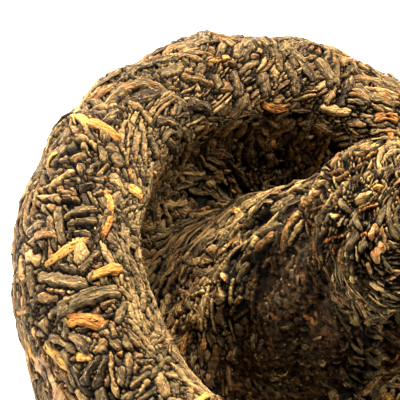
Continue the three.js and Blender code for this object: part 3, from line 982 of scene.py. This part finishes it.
# Strips that show singly on the rim, the stem and the hollow's wall, read from the photograph: both
# ends, the width and the sag, all in pixels of the picture, then the tone
LEAF_MARKS = [
    (98, 107, 136, 108, 7, -3, 0.95), (124, 97, 157, 124, 9, -4, 0.9), (66, 137, 100, 144, 7, -7, 0.85),
    (99, 143, 104, 165, 8, -4, 0.5), (104, 160, 86, 174, 8, 0, 0.35), (109, 161, 97, 176, 7, 0, 0.9),
    (119, 138, 129, 168, 5, -2, 0.85), (74, 168, 47, 193, 11, 0, 0.95), (78, 190, 96, 184, 12, -2, 0.1),
    (92, 194, 104, 190, 9, 0, 0.15), (62, 187, 76, 183, 8, 0, 0.1), (55, 195, 80, 199, 6, -2, 0.75),
    (57, 202, 62, 246, 9, 1, 0.4), (63, 214, 104, 208, 9, -5, 0.35), (66, 222, 103, 219, 8, -3, 0.3),
    (70, 230, 96, 236, 8, -3, 0.2), (67, 240, 74, 224, 7, 0, 0.2), (104, 219, 92, 244, 7, 0, 0.25),
    (112, 172, 128, 196, 13, 0, 0.9), (128, 205, 160, 213, 5, -2, 0.6), (40, 183, 33, 226, 9, -1, 0.7),
    (112, 153, 122, 166, 12, 0, 0.5), (120, 211, 140, 236, 9, 0, 0.45), (114, 207, 132, 226, 8, 0, 0.2),
    (36, 277, 88, 284, 14, 0, 0.4), (37, 296, 58, 298, 10, 0, 0.7), (44, 316, 118, 284, 17, -5, 0.45),
    (68, 331, 92, 352, 15, -3, 0.15), (34, 328, 75, 350, 9, -4, 0.35), (88, 353, 96, 336, 8, 0, 0.9),
    (82, 386, 97, 352, 13, 0, 0.1), (94, 390, 106, 352, 12, 0, 0.1), (99, 328, 121, 349, 11, -1, 0.3),
    (126, 300, 116, 326, 9, 1, 0.5), (116, 324, 130, 352, 9, 2, 0.5), (129, 350, 124, 388, 9, -3, 0.55),
    (107, 347, 116, 400, 8, 1, 0.9), (120, 388, 119, 364, 13, 0, 0.3), (126, 317, 156, 357, 8, -2, 0.9),
    (134, 361, 156, 360, 7, 0, 0.6), (128, 387, 152, 368, 9, 0, 0.25), (134, 398, 150, 374, 9, 0, 0.95),
    (158, 370, 166, 400, 13, 0, 0.97), (100, 306, 118, 298, 7, 0, 0.75), (118, 284, 131, 302, 10, 0, 0.9),
    (60, 380, 68, 402, 10, 0, 0.9), (76, 388, 86, 404, 9, 0, 0.8), (100, 248, 78, 274, 8, 0, 0.3),
    (29, 262, 33, 300, 8, 1, 0.35), (21, 250, 23, 285, 6, 1, 0.9), (60, 264, 78, 270, 9, 0, 0.2),
    (130, 164, 133, 180, 5, 0, 2.4), (155, 170, 157, 182, 6, 0, 2.3), (114, 352, 123, 354, 8, 0, 2.1),
    (260, 106, 292, 108, 10, 3, 2.1), (316, 106, 352, 114, 12, 2, 0.95),
    (372, 117, 402, 118, 10, -2, 2.15), (196, 81, 212, 82, 5, 0, 2.3), (205, 61, 232, 58, 8, 0, 2.9),
    (196, 212, 212, 208, 6, 0, 2.2), (231, 189, 238, 194, 5, 0, 2.6), (333, 317, 337, 332, 6, 0, 2.1),
    (360, 162, 402, 140, 8, -2, 1.0), (364, 157, 381, 151, 6, 0, 2.95), (346, 155, 365, 152, 5, 0, 0.9),
    (352, 170, 370, 160, 4, 0, 0.97), (335, 180, 350, 170, 6, 0, 0.9), (318, 184, 327, 180, 5, 0, 1.0),
    (326, 176, 345, 168, 5, 0, 0.85), (297, 196, 315, 185, 4, 0, 0.6), (311, 198, 319, 190, 6, 0, 0.97),
    (300, 207, 314, 198, 6, 0, 0.9), (276, 250, 300, 206, 8, -2, 0.9), (311, 212, 325, 202, 4, 0, 0.9),
    (315, 222, 327, 206, 4, 0, 0.6), (311, 216, 314, 233, 3, 0, 2.1), (316, 232, 313, 262, 5, 0, 0.85),
    (322, 212, 320, 226, 5, 0, 0.3), (331, 185, 330, 200, 3, 0, 0.95), (335, 193, 343, 183, 3, 0, 0.97),
    (340, 178, 354, 181, 3, -1, 0.9), (342, 196, 358, 194, 3, 3, 0.95), (336, 200, 352, 216, 7, 0, 0.55),
    (350, 208, 362, 231, 8, 0, 0.5), (353, 202, 373, 192, 10, 0, 0.88), (362, 178, 375, 196, 4, 0, 0.95),
    (355, 213, 376, 203, 4, 0, 2.15), (328, 215, 341, 216, 6, 3, 1.0), (374, 188, 384, 189, 7, -2, 2.7),
    (368, 240, 378, 225, 10, 0, 0.78), (372, 262, 382, 245, 11, 0, 0.9), (376, 226, 385, 205, 8, 0, 0.5),
    (386, 190, 388, 250, 7, -1, 0.55), (396, 200, 396, 250, 6, 0, 0.35), (360, 237, 368, 234, 5, 0, 2.2),
    (358, 251, 366, 240, 9, 0, 0.45), (339, 240, 352, 228, 3, 0, 2.1), (322, 242, 338, 236, 4, -1, 2.15),
    (345, 251, 358, 232, 10, 0, 0.25), (345, 263, 353, 255, 5, 0, 0.6), (332, 232, 334, 256, 4, 0, 2.0),
    (350, 262, 352, 276, 6, 0, 0.5), (366, 262, 372, 276, 8, 0, 0.7), (255, 250, 275, 232, 8, 0, 0.9),
    (262, 233, 282, 222, 6, 0, 0.5), (240, 260, 252, 250, 5, 0, 0.75), (262, 269, 270, 257, 4, 0, 0.97),
    (270, 260, 272, 276, 3, 0, 0.82), (210, 335, 214, 284, 6, -1, 0.95), (190, 298, 209, 290, 6, -1, 0.95),
    (204, 285, 219, 281, 5, 0, 1.0), (248, 290, 257, 274, 4, 0, 0.9), (228, 316, 240, 295, 6, 0, 0.75),
    (262, 305, 264, 326, 3, 0, 0.82), (219, 336, 228, 331, 4, 0, 0.95), (284, 277, 290, 262, 3, 0, 0.6),
    (274, 292, 280, 306, 7, 0, 0.97), (232, 321, 247, 312, 4, 0, 0.75), (221, 274, 225, 281, 6, 0, 1.0),
    # The near-black strips of tone 0 from (156, 117) and (171, 143) fill a dark hole inside the near rim:
    # painted shade
    (156, 117, 180, 126, 12, 0, 0.0), (162, 133, 184, 131, 12, -5, 0.45), (185, 130, 187, 160, 9, -2, 0.35),
    (171, 143, 178, 168, 10, 0, 0.0), (150, 132, 160, 160, 8, 0, 0.3), (188, 100, 215, 112, 12, -3, 0.1),
    (236, 70, 240, 100, 14, 0, 0.15), (262, 70, 268, 98, 12, 0, 0.4), (288, 60, 300, 96, 11, 0, 0.12),
    (318, 58, 338, 92, 13, 0, 0.42), (214, 72, 222, 92, 12, 0, 0.42), (160, 75, 186, 66, 12, 2, 0.5),
]

# Golden tips that stand proud on the near rim, in the same way
TIP_MARKS = [
    (84, 119, 119, 136, 10, -1, 2.45), (69, 112, 88, 124, 8, -2, 2.75), (107, 189, 112, 216, 7, -2, 2.7),
    (112, 215, 102, 238, 7, 0, 2.25), (90, 236, 44, 265, 9, 0, 2.8), (130, 185, 143, 203, 10, 0, 2.8),
    (65, 318, 106, 323, 14, -4, 2.15), (44, 345, 73, 371, 13, 0, 3.0), (74, 356, 91, 358, 8, 0, 2.6),
    (91, 276, 124, 267, 11, 0, 2.45), (30, 345, 37, 362, 8, 0, 2.95),
]


def leaf_finishes():
    """The brown leaf of the cap, and the darker twisted leaf of the stem."""
    # Each finish gives its leaf tones, then the tan of wear and painted highlight on raised ridges, then
    # the colour of its flecks
    return {
        "brown": leaf_material("dried_leaf", BROWN, (0.410, 0.252, 0.094), (0.620, 0.399, 0.164)),
        "dark": leaf_material("dark_twisted_leaf", DARK, (0.280, 0.171, 0.066), (0.460, 0.257, 0.078)),
    }


def pressed_lays():
    """The strips that lie side by side in the face of each stretch."""
    return [
        Lay("underside", (0, 0.22), 1300, (4, 14), (1.4, 3.8), (1.0, 1.5), 0, 0.8, (-0.3, 0.35), 31),
        Lay("side", (0.19, 0.35), 1500, (4, 14), (1.3, 3.4), (1.0, 1.5), 0, 0.45, (-0.3, 0.4), 32),
        Lay("rim", (0.33, 0.46), 950, (4, 16), (1.6, 4.0), (1.1, 1.6), 0, 1.4, (-0.3, 0.45), 33,
            blunt=(3, 14)),
        Lay("rim_bits", (0.31, 0.5), 450, (3, 8), (1.2, 2.4), (0.8, 1.2), 0, QUARTER, (-0.4, 0.3), 34,
            thinned=0.3),
        Lay("inner_edge", (0.43, 0.5), 450, (6, 14), (1.0, 2.6), (0.8, 1.2), 0.2, 0.5, (-0.3, 0.4), 39,
            blunt=(3, 14), thinned=0.3, tone=(0.3, 1.1)),
        Lay("inner", (0.48, 0.6), 520, (4, 14), (1.4, 3.8), (0.9, 1.5), QUARTER, 0.7, (-0.5, 0.4), 35,
            thinned=0.6),
        Lay("hollow", (0.56, 0.73), 1000, (2, 8), (0.9, 3.0), (0.8, 1.3), QUARTER, 1.1, (-0.2, 0.45), 36,
            tone=(0.3, 1.2)),
        Lay("flank", (0.66, 0.87), 900, (2, 7), (0.7, 2.2), (0.8, 1.3), -1.05, 0.45, (-0.8, 0.4), 37,
            blunt=(3, 12), tone=(0.1, 1.2)),
        Lay("knob", (0.85, 1), 1000, (2.8, 8), (0.5, 1.5), (0.5, 1.0), -0.9, 1.1, (-0.6, 0.35), 38,
            blunt=(3, 12), bend=0.06, tone=(0.3, 1.2)),
        Lay("fibres", (0.8, 1), 800, (2.5, 6), (0.3, 0.6), (0.3, 0.6), -0.9, 1.0, (-0.4, 0.35), 40,
            blunt=(4, 14), tone=(0.4, 1.2)),
    ]


def loose_lays():
    """The strips that stand a little proud of the face, each kind with its finish."""
    return [
        (Lay("outer_leaves", (0.03, CREST_AT * 0.84), 600, (4, 10), (1.1, 2.4), (0.7, 1.1),
             0, 0.45, (0.3, 0.75), 11), "brown"),
        (Lay("crown_leaves", (DOME_END * 0.96, CREST_AT + 0.04), 300, (5, 13), (1.4, 2.8), (0.8, 1.3),
             0, 1.4, (0.35, 0.75), 12, blunt=(3, 14), tone=(0, 0.85)), "brown"),
        (Lay("hollow_leaves", (LIP_AT * 0.96, ROOT_AT), 350, (2.5, 7), (0.9, 2.0), (0.7, 1.1),
             QUARTER, 1.1, (0.1, 0.6), 13), "brown"),
        (Lay("flank_strands", (HOLLOW_AT, KNOB_AT), 450, (2.2, 6.5), (0.7, 1.6), (0.5, 0.9),
             -1.05, 0.45, (0.0, 0.6), 14, blunt=(3, 12), thinned=0.97), "dark"),
        (Lay("knob_strands", (NECK_AT, 0.995), 450, (1.5, 5), (0.25, 0.6), (0.3, 0.55),
             -0.9, 1.1, (0.0, 0.5), 15, bend=0.15, tone=(0.2, 1.1)), "dark"),
        (Lay("golden_tips", (DOME_END * 0.5, 0.97), 100, (1.8, 4.5), (0.9, 2.0), (0.8, 1.2),
             0, QUARTER, (0.2, 0.7), 16, thinned=0.2, tone=GOLD_TONES), "brown"),
        (Lay("stalks", (DOME_END * 0.3, CREST_AT), 30, (6, 11), (0.6, 0.9), (0.7, 1.0),
             0, QUARTER, (0.3, 0.8), 17, blunt=(6, 9), tone=(2, 2.6)), "brown"),
        (Lay("broken_leaf", (0.06, 0.99), 2400, (1.2, 3.2), (0.5, 1.3), (0.25, 0.5),
             0, QUARTER, (0.0, 0.45), 18, blunt=(3, 14), stations=4, thinned=0.0), "brown"),
    ]


def pressed_face(finishes, marks):
    """The stretches of the face, with every kind of strip and the marked ones pressed in."""
    pressed = [laid(lay) for lay in pressed_lays()] + [marks]
    faces = []
    for band in BANDS:
        relief = Relief(*band)
        for strips in pressed:
            relief.press(strips)
        faces.append(relief.piece(finishes["dark" if "stem" in relief.name else "brown"]))
    return faces


def crumbs(carriers):
    """The crumbs on the rim's inside, the hollow and the stem."""
    tree = crumb_tree(crumb_material())
    names = [carrier.name.replace("pressed", "crumbs_on") for carrier in carriers]
    seeds = range(FIRST_CRUMB_SEED, FIRST_CRUMB_SEED + len(carriers))
    return [crumbs_piece(name, carrier, tree, seed) for name, carrier, seed in zip(names, carriers, seeds)]


def loose_strips(finishes, marks, tips):
    """The golden tips of the near rim, and the other loose strips clear of them and of the marked ones."""
    pieces = [strips_piece("rim_tips", tips, TIP_STATIONS, TIP_SEED, finishes["brown"])]
    for lay, finish in loose_lays():
        strips = away_from(away_from(laid(lay), marks), tips)
        pieces.append(strips_piece(lay.name, strips, lay.stations, lay.seed, finishes[finish]))
    return pieces


def cake():
    """All pieces of the cake, each riding on the body in place of the model's node."""
    finishes = leaf_finishes()
    view = View()
    marks, tips = marked(LEAF_MARKS, view), marked(TIP_MARKS, view)
    faces = pressed_face(finishes, marks)
    inside = faces[-3:]
    for piece in faces + crumbs(inside) + loose_strips(finishes, marks, tips):
        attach(piece, "root")
        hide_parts(NODE)


camera()
studio()
floor()
cake()
